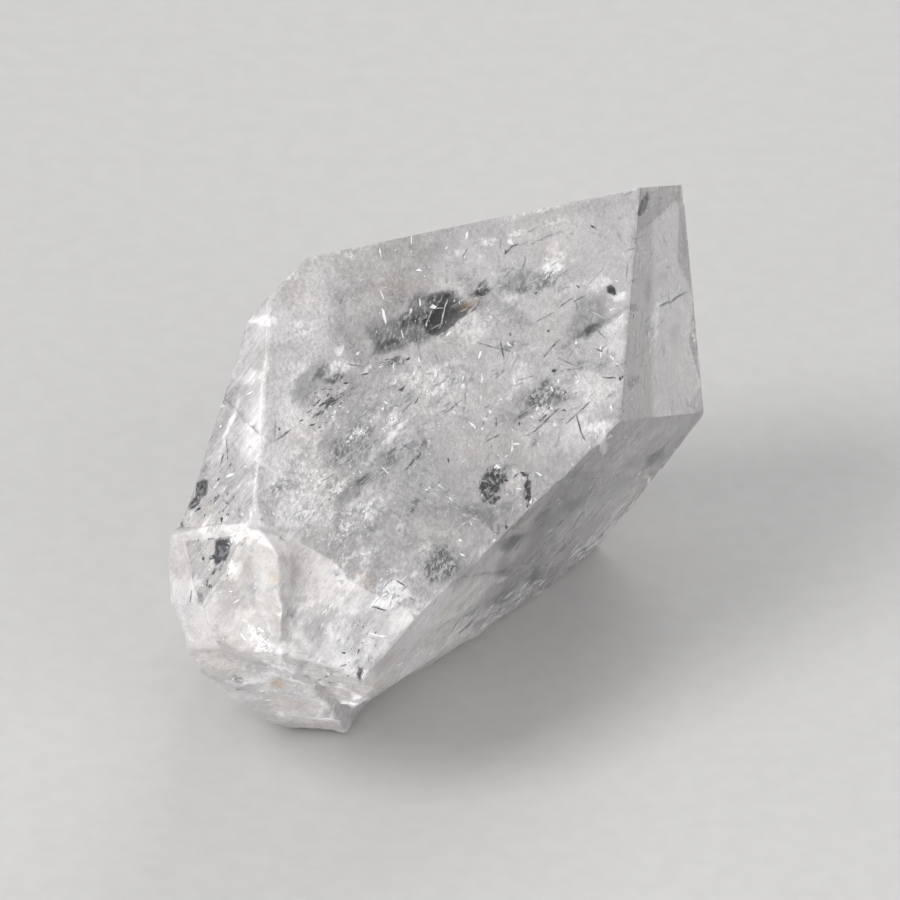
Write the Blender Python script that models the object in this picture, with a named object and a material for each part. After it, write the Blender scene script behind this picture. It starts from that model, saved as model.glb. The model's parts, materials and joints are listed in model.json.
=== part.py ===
"""A quartz crystal standing on its broken base, for Blender 4.5.

The solid is made as such a crystal is: a block is cleaved along the flat faces of the six-sided
prism and of the point, stepped by growth, and broken off below. A smaller growth is then joined to
its side, and chips are taken from the edges.

A plane is given by the way that it faces and by its distance from the crystal's heart. Units are
metres, +Z is up, and the origin is at the bottom centre of the crystal's box.
"""
import math

import bmesh
import bpy
from mathutils import Euler, Matrix, Vector, noise

MM = 0.001
NAME = "quartz_crystal"

# How the crystal leans: where its long axis points and its turn about that axis, in degrees.
AXIS_AZIMUTH = 21.5
AXIS_ELEVATION = 50.3
AXIS_TURN = -75.9

# Quartz: a face of the point is tilted this much from the crystal's long axis, in degrees.
POINT_TILT = 51.8

# Grown faces: azimuth about the long axis in degrees, and distance from the heart in mm.
PRISM_FACES = {30: 13.7, 90: 50.2, 150: 41.9, -150: 25.9, -90: 33.5}
POINT_FACES = {-30: 10.1, 30: 20.2, 90: 48.1, 150: 52.0, -150: 26.85}

# Smooth slopes: azimuth and elevation of the way each one faces in degrees, and distance in mm.
TOP_BEVEL = (-51.7, 41.9, 11.5)
SHOULDER = (153.4, 36.2, 29.1)
REST_PLANE = (0.0, -90.0, 34.0)

# Rough breaks: the way each one faces in degrees and its distance, then the height of its relief
# and the length and width of its shell-like hollows, in mm.
LEFT_BREAK = ((165.1, 11.3, 26.4), 0.35, (15.0, 8.0))
LOWER_LEFT_BREAK = ((-173.6, -13.2, 33.8), 0.6, (12.0, 8.0))
FRONT_BREAK = ((-73.9, 17.7, 21.7), 0.45, (14.0, 7.0))
UNDERCUT = ((-105.9, -48.9, 32.8), 0.5, (9.0, 6.0))
RIGHT_EDGE_BREAK = ((-31.0, -32.4, 16.75), 0.3, (12.0, 5.0))
RIGHT_UNDERCUT = ((-38.6, -44.5, 20.0), 0.4, (8.0, 9.0))
BACK_HEEL = ((37.9, -88.6, 34.3), 0.7, (12.0, 9.0))
BASE_BREAK = ((0.0, -90.0, 33.95), 0.9, (13.0, 10.0))
BREAKS = {"left": LEFT_BREAK, "lower_left": LOWER_LEFT_BREAK, "front": FRONT_BREAK,
          "undercut": UNDERCUT, "right_edge": RIGHT_EDGE_BREAK, "right_undercut": RIGHT_UNDERCUT,
          "back_heel": BACK_HEEL, "base": BASE_BREAK}

# The side growth at the lower left: its flat sides, then its broken ones.
SIDE_PLANES = ((116.5, 63.4, -0.8), (161.7, 23.5, 24.0), (-17.3, 3.1, -10.1), (6.5, 45.5, -14.5),
               (130.9, -18.7, 15.5), (0.0, -90.0, 33.7))
SIDE_BREAKS = {"side_left": ((175.6, -1.5, 33.0), 0.3, (10.0, 7.0)),
               "side_low": ((-175.3, -19.4, 37.0), 0.4, (9.0, 6.0)),
               "side_foot": ((-178.2, -33.1, 37.2), 0.5, (7.0, 5.0)),
               "side_front": ((-124.4, 6.4, 38.9), 0.35, (13.0, 9.0)),
               "side_under": ((-98.6, -40.3, 32.9), 0.5, (8.0, 6.0))}

# Growth steps across the prism faces: distances along the long axis where a face steps in, in mm.
STEP_PLACES = {30: (6.0, -9.0), 90: (24.0, 13.0, 3.0), 150: (21.0, 12.0, 4.0, -5.0),
               -150: (9.0, 1.0, -8.0), -90: (-8.0, -17.0)}
STEP_DEPTH = 0.16
# The ledge on the right of the tip: distance along the long axis, and depth, in mm.
TIP_LEDGE_PLACE = 36.0
TIP_LEDGE_DEPTH = 0.35

# Chips off the edges: where they are in mm from the heart, the way they face, radius and depth.
CHIPS = (((18.8, 0.0, 1.4), (-44.0, 8.0), 3.0, 0.4),
         ((-22.85, -14.2, 20.3), (-96.0, 48.0), 3.0, 0.25),
         ((-24.3, -28.2, 7.3), (-86.0, 37.0), 5.0, 0.4),
         ((-12.0, 30.0, 10.0), (140.0, 60.0), 7.0, 0.5),
         ((28.6, 44.6, 12.6), (50.0, 20.0), 5.0, 0.4),
         ((27.0, 45.0, -17.0), (60.0, -40.0), 8.0, 1.0))

BLOCK_SIZE = 160.0          # side in mm of the cube that each solid is cleaved from
TOUCH = 1e-7                # how close in metres a cleave counts as touching a corner
WELD_REACH = 4e-6           # corners closer than this, in metres, are one
BREAK_SPAN = 110.0          # side in mm of the sheet that a rough break is cut with
BREAK_MESH = 2.1            # side in mm of that sheet's squares
BREAK_SCATTER = 0.6         # how far their corners are moved about, as a share of that side
BREAK_THICKNESS = 12.0      # how much the sheet takes off, in mm
BREAK_MARGIN = 0.3          # what a cleave leaves above the highest relief, in mm
GRAIN_HEIGHT = 0.12         # fine roughness on a break, in mm
GRAIN_SIZE = 3.0            # and its spacing, in mm
HOLLOW_REACH = 0.75         # how far a hollow reaches, as a share of the spacing of hollows

# Colour of clear quartz with a faint milk, its roughness and its refractive index.
QUARTZ_COLOUR = (0.86, 0.86, 0.85, 1.0)
QUARTZ_ROUGHNESS = 0.06
QUARTZ_IOR = 1.544


def facing(azimuth, elevation):
    """Unit vector that faces this azimuth and elevation, in degrees."""
    turn = math.radians(azimuth)
    rise = math.radians(elevation)
    level = math.cos(rise)
    return Vector((level * math.cos(turn), level * math.sin(turn), math.sin(rise)))


def crystal_frame():
    """Rotation from the crystal's own axes, long axis along Z, to the way that it stands."""
    lean = Euler((0.0, math.radians(90.0 - AXIS_ELEVATION), math.radians(AXIS_AZIMUTH)))
    return lean.to_matrix() @ Matrix.Rotation(math.radians(AXIS_TURN), 3, "Z")


def prism_direction(azimuth):
    return crystal_frame() @ facing(azimuth, 0.0)


def point_direction(azimuth):
    return crystal_frame() @ facing(azimuth, 90.0 - POINT_TILT)


def grown_planes():
    planes = [(prism_direction(azimuth), far) for azimuth, far in PRISM_FACES.items()]
    planes += [(point_direction(azimuth), far) for azimuth, far in POINT_FACES.items()]
    return planes


def world_planes(rows):
    return [(facing(azimuth, elevation), far) for azimuth, elevation, far in rows]


def rough_limits(breaks):
    """Planes just above the relief of each rough break."""
    rows = []
    for (azimuth, elevation, far), height, _ in breaks.values():
        rows.append((azimuth, elevation, far + height + GRAIN_HEIGHT + BREAK_MARGIN))
    return world_planes(rows)


def mesh_from(bm, name):
    mesh = bpy.data.meshes.new(name)
    bm.to_mesh(mesh)
    bm.free()
    return mesh


def cleaved(name, planes):
    """A mesh made from a cube by one flat cleave for each plane."""
    bm = bmesh.new()
    bmesh.ops.create_cube(bm, size=BLOCK_SIZE * MM)
    for direction, far in planes:
        geometry = bm.verts[:] + bm.edges[:] + bm.faces[:]
        bmesh.ops.bisect_plane(bm, geom=geometry, dist=TOUCH, plane_co=direction * far * MM,
                               plane_no=direction, clear_outer=True)
        rim = [edge for edge in bm.edges if edge.is_boundary]
        if rim:
            bmesh.ops.edgeloop_fill(bm, edges=rim)
    bmesh.ops.recalc_face_normals(bm, faces=bm.faces[:])
    return mesh_from(bm, name)


def shell_relief(place, height, hollow):
    """Height of a break above its plane: bowls that meet in ridges, with a finer grain."""
    spot = Vector((place.x / (hollow[0] * MM), place.y / (hollow[1] * MM), height))
    nearest = noise.voronoi(spot)[0][0]
    bowl = 2.0 * min(1.0, (nearest / HOLLOW_REACH) ** 2) - 1.0
    grain = noise.noise(place / (GRAIN_SIZE * MM))
    return (height * bowl + GRAIN_HEIGHT * grain) * MM


def break_cutter(name, plane, height, hollow):
    """A thick sheet with a rough underside, which takes off all that is beyond the break."""
    direction = facing(plane[0], plane[1])
    bm = bmesh.new()
    squares = round(BREAK_SPAN / BREAK_MESH)
    bmesh.ops.create_grid(bm, x_segments=squares, y_segments=squares, size=0.5 * BREAK_SPAN * MM)
    for corner in bm.verts:
        chance = noise.cell_vector((corner.co + direction) / MM)
        corner.co.x += (chance.x - 0.5) * BREAK_SCATTER * BREAK_MESH * MM
        corner.co.y += (chance.y - 0.5) * BREAK_SCATTER * BREAK_MESH * MM
        corner.co.z = shell_relief(corner.co + direction, height, hollow)
    upper = bmesh.ops.extrude_face_region(bm, geom=bm.faces[:])["geom"]
    for corner in upper:
        if isinstance(corner, bmesh.types.BMVert):
            corner.co.z = BREAK_THICKNESS * MM
    bmesh.ops.recalc_face_normals(bm, faces=bm.faces[:])
    turn = direction.to_track_quat("Z", "Y").to_matrix()
    bmesh.ops.rotate(bm, verts=bm.verts[:], matrix=turn)
    bmesh.ops.translate(bm, verts=bm.verts[:], vec=direction * plane[2] * MM)
    return mesh_from(bm, name)


def step_cutters():
    """What lies above a face's new, deeper level, on the far side of each step's riser."""
    axis = crystal_frame() @ Vector((0.0, 0.0, 1.0))
    cutters = []
    for azimuth, places in STEP_PLACES.items():
        direction = prism_direction(azimuth)
        for count, place in enumerate(places, start=1):
            level = PRISM_FACES[azimuth] - STEP_DEPTH * count
            cutters.append(cleaved(f"step_{azimuth}_{count}", [(-direction, -level), (axis, place)]))
    ledge_level = POINT_FACES[90] - TIP_LEDGE_DEPTH
    ledge = [(-point_direction(90), -ledge_level), (-axis, -TIP_LEDGE_PLACE)]
    cutters.append(cleaved("tip_ledge", ledge))
    return cutters


def chip_cutter(name, place, way, radius, depth):
    """A faceted ball that bites a shell-like chip out of an edge."""
    bm = bmesh.new()
    bmesh.ops.create_icosphere(bm, subdivisions=3, radius=radius * MM)
    centre = Vector(place) + facing(*way) * (radius - depth)
    bmesh.ops.translate(bm, verts=bm.verts[:], vec=centre * MM)
    return mesh_from(bm, name)


def quartz_material():
    material = bpy.data.materials.new("clear_quartz")
    material.use_nodes = True
    shader = material.node_tree.nodes["Principled BSDF"]
    shader.inputs["Base Color"].default_value = QUARTZ_COLOUR
    shader.inputs["Roughness"].default_value = QUARTZ_ROUGHNESS
    shader.inputs["Metallic"].default_value = 0.0
    shader.inputs["IOR"].default_value = QUARTZ_IOR
    return material


def add_collection(name, parent):
    collection = bpy.data.collections.new(name)
    parent.children.link(collection)
    return collection


def add_object(mesh, collection):
    piece = bpy.data.objects.new(mesh.name, mesh)
    collection.objects.link(piece)
    return piece


def boolean(piece, other, operation):
    modifier = piece.modifiers.new(other.name, "BOOLEAN")
    modifier.operation = operation
    modifier.object = other


def weld(piece):
    """Close the hair-thin edges that cuts leave where they almost meet."""
    modifier = piece.modifiers.new("weld", "WELD")
    modifier.merge_threshold = WELD_REACH


def cut_all(piece, cutters):
    for cutter in cutters.objects:
        boolean(piece, cutter, "DIFFERENCE")
        weld(piece)


def add_breaks(breaks, collection):
    for name, (plane, height, hollow) in breaks.items():
        add_object(break_cutter(f"{name}_break", plane, height, hollow), collection)


def bottom_centre(piece):
    """Middle of the finished piece's box seen from above, at its lowest level."""
    bpy.context.view_layer.update()
    shape = piece.evaluated_get(bpy.context.evaluated_depsgraph_get())
    corners = [Vector(corner) for corner in shape.bound_box]
    low = Vector([min(corner[axis] for corner in corners) for axis in range(3)])
    high = Vector([max(corner[axis] for corner in corners) for axis in range(3)])
    return Vector(((low.x + high.x) / 2, (low.y + high.y) / 2, low.z))


def build():
    for old in list(bpy.data.objects):
        bpy.data.objects.remove(old, do_unlink=True)
    scene_collection = bpy.context.scene.collection
    parts = add_collection(NAME, scene_collection)
    cutters = add_collection("cutters", scene_collection)
    body_cutters = add_collection("body_cutters", cutters)
    side_cutters = add_collection("side_cutters", cutters)
    chip_cutters = add_collection("chip_cutters", cutters)

    add_breaks(BREAKS, body_cutters)
    for mesh in step_cutters():
        add_object(mesh, body_cutters)
    add_breaks(SIDE_BREAKS, side_cutters)
    for number, (place, way, radius, depth) in enumerate(CHIPS, start=1):
        add_object(chip_cutter(f"chip_{number}", place, way, radius, depth), chip_cutters)

    body_planes = grown_planes() + world_planes((TOP_BEVEL, SHOULDER, REST_PLANE))
    crystal = add_object(cleaved(NAME, body_planes + rough_limits(BREAKS)), parts)
    side_planes = world_planes(SIDE_PLANES) + rough_limits(SIDE_BREAKS)
    side = add_object(cleaved("side_growth", side_planes), cutters)
    cut_all(side, side_cutters)
    cut_all(crystal, body_cutters)
    boolean(crystal, side, "UNION")
    weld(crystal)
    cut_all(crystal, chip_cutters)
    crystal.data.materials.append(quartz_material())

    for cutter in cutters.all_objects:
        cutter.hide_render = True
        cutter.display_type = "WIRE"
    stand = bpy.data.objects.new("stand_point", None)
    scene_collection.objects.link(stand)
    for piece in list(parts.objects) + list(cutters.all_objects):
        piece.parent = stand
    stand.location = -bottom_centre(crystal)
    bpy.context.view_layer.update()


build()
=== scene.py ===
# %% [markdown]
# # A quartz crystal on a pale table
# A quartz crystal is a six-sided prism with a pointed end. This one broke off its rock at the lower
# end, and light gets lost in the cracks and veils inside it, so clear quartz looks white. The
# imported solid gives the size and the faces. Here it gets fine breaks, a see-through material and
# the flaws that catch the light.

# %% Load the frame
import json
import random
from functools import partialmethod
from math import cos, degrees, exp, pi, radians, sin, sqrt

import bmesh
import bpy
import numpy as np
from mathutils import Matrix, Vector, noise
from mathutils.bvhtree import BVHTree

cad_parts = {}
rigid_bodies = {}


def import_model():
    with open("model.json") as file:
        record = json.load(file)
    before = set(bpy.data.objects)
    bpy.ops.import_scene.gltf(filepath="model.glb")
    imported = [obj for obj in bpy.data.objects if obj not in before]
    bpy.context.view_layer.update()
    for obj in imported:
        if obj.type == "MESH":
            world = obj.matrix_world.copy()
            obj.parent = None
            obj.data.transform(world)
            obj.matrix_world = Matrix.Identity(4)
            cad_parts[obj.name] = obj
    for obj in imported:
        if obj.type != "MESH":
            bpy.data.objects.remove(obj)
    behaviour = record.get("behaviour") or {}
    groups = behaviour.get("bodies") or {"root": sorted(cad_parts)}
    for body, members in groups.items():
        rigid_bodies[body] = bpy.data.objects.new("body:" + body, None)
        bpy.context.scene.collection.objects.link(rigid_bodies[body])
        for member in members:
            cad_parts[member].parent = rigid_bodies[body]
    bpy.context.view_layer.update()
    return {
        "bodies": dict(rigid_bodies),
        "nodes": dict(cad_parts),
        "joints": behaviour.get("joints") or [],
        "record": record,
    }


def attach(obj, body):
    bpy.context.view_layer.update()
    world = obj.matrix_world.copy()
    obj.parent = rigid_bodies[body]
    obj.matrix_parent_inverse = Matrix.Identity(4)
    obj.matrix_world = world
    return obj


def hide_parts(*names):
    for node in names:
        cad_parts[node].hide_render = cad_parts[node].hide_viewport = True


MM = 0.001
noise.seed_set(5)  # without a seed, noise_vector takes one from the clock
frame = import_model()
solid = frame["nodes"]["quartz_crystal"]
print("solid:", len(solid.data.polygons), "faces")

# %% [markdown]
# ## Where things are
# Places are measured from the crystal's heart, the point that its faces' distances are taken from.
# The front view looks down at it by 30 degrees: "across" and "up" are the directions of that view,
# and "deep" leads away from the eye. Each flat face is known by the way it faces, an azimuth and
# an elevation.

# %% Name the directions and the faces
HEART = Vector((1.427, -6.784, 34.0)) * MM
LOOK_DOWN = radians(30.0)
ACROSS = Vector((1.0, 0.0, 0.0))
UP = Vector((0.0, sin(LOOK_DOWN), cos(LOOK_DOWN)))
DEEP = Vector((0.0, cos(LOOK_DOWN), -sin(LOOK_DOWN)))


def facing(azimuth, elevation):
    """Unit vector that faces this azimuth and elevation, in degrees."""
    turn, rise = radians(azimuth), radians(elevation)
    return Vector((cos(rise) * cos(turn), cos(rise) * sin(turn), sin(rise)))


LONG_AXIS = facing(21.5, 50.3)
# Azimuth and elevation in degrees, and distance from the heart in mm.
FACES = {"broad": (-51.7, 37.9, 10.1), "narrow": (-13.2, 7.3, 20.2),
         "right": (-31.9, -26.4, 13.7), "left": (-140.5, 38.3, 33.5),
         "far_left": (148.1, 26.4, 25.9), "back": (99.1, -10.1, 41.9),
         "far_right": (39.5, -38.3, 50.2), "top": (114.0, 55.6, 26.85),
         "tip_back": (32.5, -0.6, 48.1), "tip_far": (74.9, 19.7, 52.0),
         "bevel": (-51.7, 41.9, 11.5), "shoulder": (153.4, 36.2, 29.1)}
DIRECTIONS = {name: facing(azimuth, rise) for name, (azimuth, rise, _) in FACES.items()}
print("faces:", ", ".join(FACES))

# %% [markdown]
# ## The camera
# A long lens from far away shows the crystal with almost no perspective, as a close view of a small
# thing taken with a macro lens does. The frame is 112.5 mm wide at the crystal.

# %% Set up the camera
VIEW_WIDTH = 112.5 * MM
VIEW_DISTANCE = 3.0
SENSOR = 36.0


def add_object(name, data):
    thing = bpy.data.objects.new(name, data)
    bpy.context.scene.collection.objects.link(thing)
    return thing


camera_data = bpy.data.cameras.new("camera")
camera_data.sensor_width = SENSOR
camera_data.lens = SENSOR * VIEW_DISTANCE / VIEW_WIDTH
camera_data.clip_end = 20.0
camera = add_object("camera", camera_data)
camera.location = HEART - DEEP * VIEW_DISTANCE
camera.rotation_euler = (pi / 2 - LOOK_DOWN, 0.0, 0.0)
bpy.context.scene.camera = camera
print("lens:", round(camera_data.lens), "mm")

# %% [markdown]
# ## Shader maths as Python
# A socket is wrapped in a small class, so that a sum of two patterns is written a + b and adds its
# own Math node. Colours and vectors have methods of their own, because a Math node turns them grey.
# Every other node comes from one method, given its type, its settings and its sockets.

# %% Wrap a socket
class Socket:
    """A node's output that can stand in a Python expression."""

    def __init__(self, tree, source):
        self.tree, self.source = tree, source

    def node(self, kind, settings=(), inputs=(), output=0):
        """Add any node; inputs maps a socket's name or number to a value or a Socket."""
        made = self.tree.nodes.new(kind)
        for name, value in dict(settings).items():
            setattr(made, name, value)
        for name, value in dict(inputs).items():
            self.feed(made.inputs[name], value)
        return Socket(self.tree, made.outputs[output])

    def feed(self, socket, value):
        if isinstance(value, Socket):
            self.tree.links.new(value.source, socket)
        else:
            socket.default_value = value

    def maths(self, operation, *values):
        inputs = dict(enumerate((self, *values)))
        return self.node("ShaderNodeMath", {"operation": operation}, inputs)

    __add__ = __radd__ = partialmethod(maths, "ADD")
    __mul__ = __rmul__ = partialmethod(maths, "MULTIPLY")
    __sub__ = partialmethod(maths, "SUBTRACT")
    __pow__ = partialmethod(maths, "POWER")

    def __rsub__(self, other):
        return (self * -1.0) + other

    def dot(self, direction):
        """How far this point lies along a direction."""
        inputs = {0: self, 1: tuple(direction)}
        return self.node("ShaderNodeVectorMath", {"operation": "DOT_PRODUCT"}, inputs, "Value")

    def ramp(self, low, high, start=0.0, end=1.0):
        """Smooth rise from start, where this value is low, to end, where it is high."""
        settings = {"interpolation_type": "SMOOTHSTEP", "clamp": True}
        inputs = {"Value": self, "From Min": low, "From Max": high, "To Min": start, "To Max": end}
        return self.node("ShaderNodeMapRange", settings, inputs)

    def swing(self, low=0.3, high=0.7):
        """The same rise, from half below nothing to half above it."""
        return self.ramp(low, high, -0.5, 0.5)

    def blend(self, first, second):
        """Colour between first and second, by this value."""
        settings = {"data_type": "RGBA", "blend_type": "MIX"}
        inputs = {0: self, 6: first, 7: second}
        return self.node("ShaderNodeMix", settings, inputs, 2)

    def noise(self, size, detail=2.0, roughness=0.5, distortion=0.0):
        """Cloudy pattern whose patches are about this many mm across, at this point in mm."""
        inputs = {"Vector": self, "Scale": 1.0 / size, "Detail": detail,
                  "Roughness": roughness, "Distortion": distortion}
        return self.node("ShaderNodeTexNoise", {}, inputs, "Fac")


def new_material(name):
    """A material with an empty tree, and the socket that gives the place on the piece, in mm."""
    material = bpy.data.materials.new(name)
    material.use_nodes = True
    tree = material.node_tree
    tree.nodes.clear()
    place = Socket(tree, tree.nodes.new("ShaderNodeTexCoord").outputs["Object"])
    inputs = {0: place, 1: (1 / MM, 1 / MM, 1 / MM)}
    return material, place.node("ShaderNodeVectorMath", {"operation": "MULTIPLY"}, inputs)


def finish_material(material, surface, volume=None):
    output = material.node_tree.nodes.new("ShaderNodeOutputMaterial")
    surface.feed(output.inputs["Surface"], surface)
    if volume is not None:
        surface.feed(output.inputs["Volume"], volume)
    print("material:", material.name, len(material.node_tree.nodes), "nodes")
    return material


# %% [markdown]
# ## Table and light
# A pale table top and soft light from large boxes are what a mineral is usually shown in. Glassy
# things show their shape by what they mirror, so the sky is bright above and darker near the
# horizon: each face then picks a tone of its own.

# %% Make the table
TABLE_SIZE = 8.0
TABLE_COLOUR = (0.55, 0.545, 0.535, 1.0)
SPECKLE_COLOUR = (0.53, 0.525, 0.515, 1.0)

table_material, place = new_material("table_top")
speckle = place.noise(3.0, 4.0)
tone = speckle.ramp(0.3, 0.7).blend(TABLE_COLOUR, SPECKLE_COLOUR)
shader = place.node("ShaderNodeBsdfPrincipled", {}, {"Base Color": tone, "Roughness": 0.6})
finish_material(table_material, shader)
bpy.ops.mesh.primitive_plane_add(size=TABLE_SIZE)
table = bpy.context.object
table.name = "table_top"
table.data.materials.append(table_material)

# %% Set up the light
SKY_HORIZON = (0.16, 0.16, 0.165, 1.0)
SKY_TOP = (0.55, 0.55, 0.56, 1.0)
LIGHTS = {"key_light": ((-0.75, -0.45, 0.95), 0.6, 9.5),
          "fill_light": ((0.55, -0.9, 0.65), 0.7, 4.0),
          "low_light": ((-0.65, -0.95, 0.16), 0.5, 6.0),
          "back_light": ((0.3, 0.9, 0.6), 0.5, 3.0)}

world = bpy.data.worlds.new("soft_room")
world.use_nodes = True
world.node_tree.nodes.clear()
sky = Socket(world.node_tree, world.node_tree.nodes.new("ShaderNodeTexCoord").outputs["Generated"])
height = sky.dot((0.0, 0.0, 1.0)).ramp(0.0, 0.7)
glow = sky.node("ShaderNodeBackground", {}, {"Color": height.blend(SKY_HORIZON, SKY_TOP)})
world_output = world.node_tree.nodes.new("ShaderNodeOutputWorld")
glow.feed(world_output.inputs["Surface"], glow)
bpy.context.scene.world = world


def add_light(name, position, size, power):
    """A square soft box that faces the crystal and that the camera doesn't see."""
    data = bpy.data.lights.new(name, "AREA")
    data.size, data.energy = size, power
    lamp = add_object(name, data)
    lamp.location = position
    lamp.rotation_euler = (HEART - Vector(position)).to_track_quat("-Z", "Y").to_euler()
    lamp.visible_camera = False


for name, (position, size, power) in LIGHTS.items():
    add_light(name, position, size, power)
bpy.context.scene.view_settings.view_transform = "Standard"
print("lights:", ", ".join(LIGHTS))

# %% [markdown]
# ## The crystal's surface
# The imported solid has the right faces, but its breaks are coarse. So its polygons are first told
# apart: on a named flat face, on the flats that it rests on, or on a break. Angle and distance
# decide it, which holds if the solid is cut anew, as a list of polygons wouldn't.

# %% Find the flat faces
TOUCH = 0.01 * MM
FLAT_ANGLE = cos(radians(1.0))
STEPS_DEPTH = 1.2  # how far the growth steps lower a flat face, in mm
FLAT_TOLERANCE = 0.1


def flat_face_of(face):
    """Name of the flat face that a polygon belongs to, or None if it is on a break."""
    middle = face.calc_center_median()
    for name, direction in DIRECTIONS.items():
        below = FACES[name][2] - (middle - HEART).dot(direction) / MM
        if face.normal.dot(direction) > FLAT_ANGLE and -FLAT_TOLERANCE < below < STEPS_DEPTH:
            return name
    return "rest" if face.normal.z < -FLAT_ANGLE and middle.z < TOUCH else None


shell = bmesh.new()
shell.from_mesh(solid.data)
bmesh.ops.remove_doubles(shell, verts=shell.verts[:], dist=TOUCH / 10)
shell.normal_update()
kinds = [flat_face_of(face) for face in shell.faces]
for name in [*FACES, "rest", None]:
    area = sum(face.calc_area() for face, kind in zip(shell.faces, kinds) if kind == name)
    print(name or "broken", kinds.count(name), "faces", round(area * 1e6), "mm2")

# %% [markdown]
# ## The breaks
# Quartz breaks in shells with a fine crumb on them. A bump in the material would leave the outline
# smooth, and a displacement modifier would bend the flat faces too. So only the breaks are refined,
# and their corners moved by three sizes of noise. A corner on the rim of a flat face slides within
# it, so the face stays flat and its edge turns ragged.

# %% Refine the breaks
MERGE_ANGLE = radians(0.3)
BREAK_EDGE = 0.9 * MM  # edges on a break that are longer than this are halved
SMOOTHING_ROUNDS = 3
KIND_NAMES = [None, "rest", *FACES]


def mark_kinds(bm):
    """Write on each polygon which face it belongs to, as a number that survives subdivision."""
    layer = bm.faces.layers.int.new("kind")
    for face in bm.faces:
        face[layer] = KIND_NAMES.index(flat_face_of(face))
    return layer


def halve_break_edges(bm, layer):
    edges = dict.fromkeys(edge for face in bm.faces if face[layer] == 0 for edge in face.edges
                          if edge.calc_length() > BREAK_EDGE)
    bmesh.ops.subdivide_edges(bm, edges=list(edges), cuts=1, use_grid_fill=True)
    bmesh.ops.triangulate(bm, faces=[face for face in bm.faces if face[layer] == 0])


bmesh.ops.dissolve_limit(shell, angle_limit=MERGE_ANGLE, verts=shell.verts[:],
                         edges=shell.edges[:])
shell.normal_update()
kind_layer = mark_kinds(shell)
halve_break_edges(shell, kind_layer)
halve_break_edges(shell, kind_layer)
print("refined:", len(shell.faces), "faces")

# %% Crumble them
CRUMBS = ((2.6, 0.20), (0.9, 0.11), (0.45, 0.05))  # size of the lumps and their height, in mm
HOLDING_ROUNDS = 4  # turns of taking out the part of a shift that leaves a flat face


def layered_noise(place, layers, unit=1.0):
    """Sum of noise at a place in metres. Layers are pairs of size in mm and height in units."""
    total = Vector()
    for size, height in layers:
        total += height * unit * noise.noise_vector(place / (size * MM))
    return total


def held_directions(corner, layer):
    """Facings of the flat faces that meet at a corner; it may only slide within them."""
    names = sorted({KIND_NAMES[face[layer]] for face in corner.link_faces} - {None})
    return [Vector((0.0, 0.0, -1.0)) if name == "rest" else DIRECTIONS[name] for name in names]


loose = [corner for corner in shell.verts if not held_directions(corner, kind_layer)]
for _ in range(SMOOTHING_ROUNDS):
    bmesh.ops.smooth_vert(shell, verts=loose, factor=0.5, use_axis_x=True, use_axis_y=True,
                          use_axis_z=True)
for corner in shell.verts:
    held = held_directions(corner, kind_layer)
    if len(held) < 3 and any(face[kind_layer] == 0 for face in corner.link_faces):
        shift = layered_noise(corner.co, CRUMBS, MM)
        for direction in held * HOLDING_ROUNDS:
            shift -= shift.dot(direction) * direction
        corner.co += shift
        corner.co.z = max(corner.co.z, 0.0)
print("crumbled:", len(loose), "corners")

# %% [markdown]
# ## Markings
# What the eye finds first in this crystal is its markings: dark windows where a crack mirrors the
# dark, painted in as shade; grey shades; white veils; glints, painted as highlights; and stains.
# Films inside the glass would show twice or not at all, as the glass bends the line of sight, and a
# hundred shapes in the shader are slow. So each marking is a soft-edged shard with a place in the
# front view, whose strength is written on the mesh's corners: the shader reads one number.

# %% Dark markings and painted shade
def hundredths(first, rows):
    """Table rows whose columns from the first one on are written in hundredths."""
    return tuple((*row[:first], *(value / 100 for value in row[first:])) for row in rows)


SOFT_EDGE = 0.6  # of markings that name no other
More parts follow.
